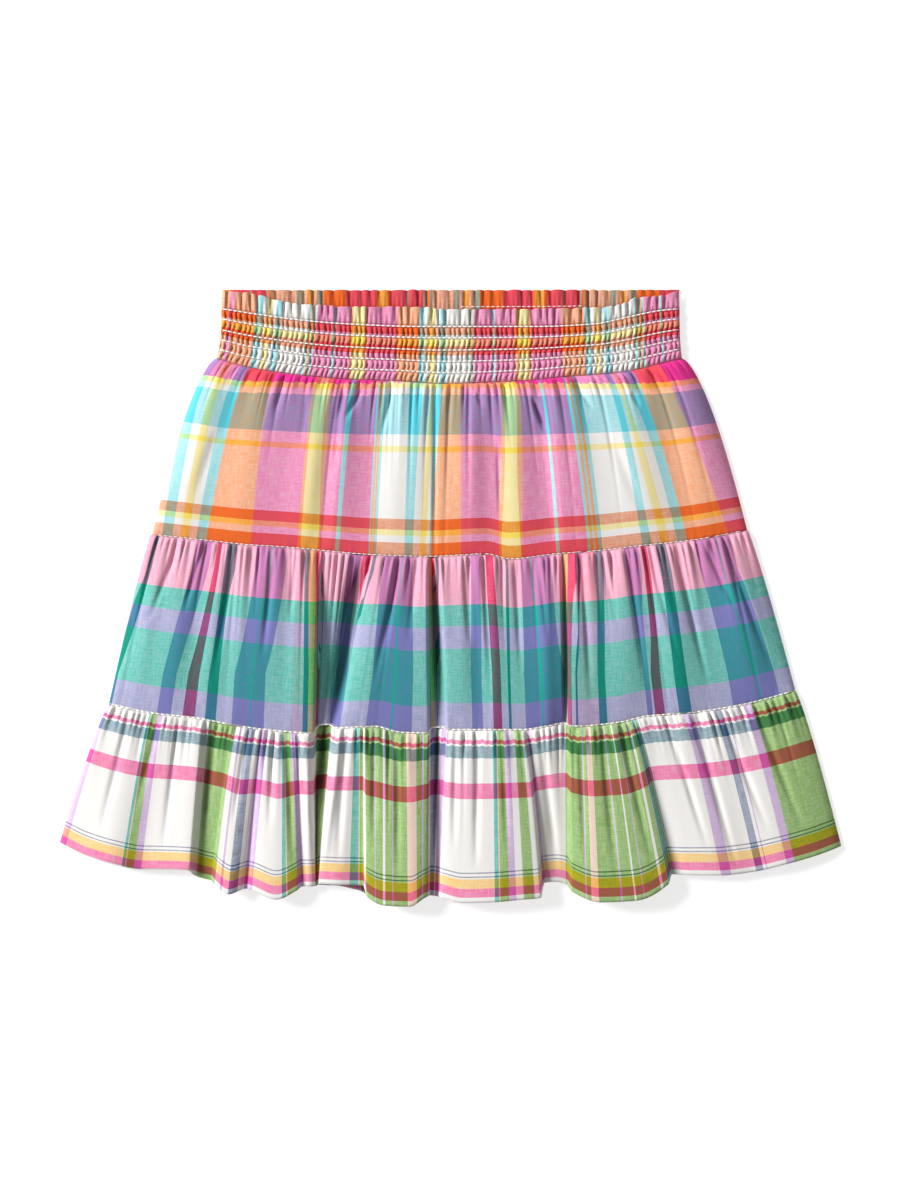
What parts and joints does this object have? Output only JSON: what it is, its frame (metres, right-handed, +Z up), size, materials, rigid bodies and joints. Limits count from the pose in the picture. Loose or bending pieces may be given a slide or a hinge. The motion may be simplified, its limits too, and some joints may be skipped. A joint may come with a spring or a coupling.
{
  "type": "tiered ruffle skirt",
  "caption": "Girl's pull-on skirt laid flat: shirred waistband with a ruffled header, gathered plaid tiers and a gathered ruffle hem.",
  "frame": {"origin": "under the middle of the skirt, on the surface that it lies on", "axes": "+Y towards the waist, +X to the right across the front, +Z up out of the front panels"},
  "size_m": [0.461, 0.363, 0.0132],
  "materials": {
    "warm_plaid": "matt woven cotton, pink, peach, white, yellow and light blue check",
    "cool_plaid": "matt woven cotton, teal, lavender and pink check",
    "light_plaid": "matt woven cotton, white, green, pink and slate check"
  },
  "bodies": {
    "root": {"waistband_front": "warm_plaid", "waistband_back": "warm_plaid", "tier_1_front": "warm_plaid", "tier_1_back": "warm_plaid", "tier_2_front": "cool_plaid", "tier_2_back": "cool_plaid", "tier_3_front": "light_plaid", "tier_3_back": "light_plaid"}
  },
  "joints": []
}
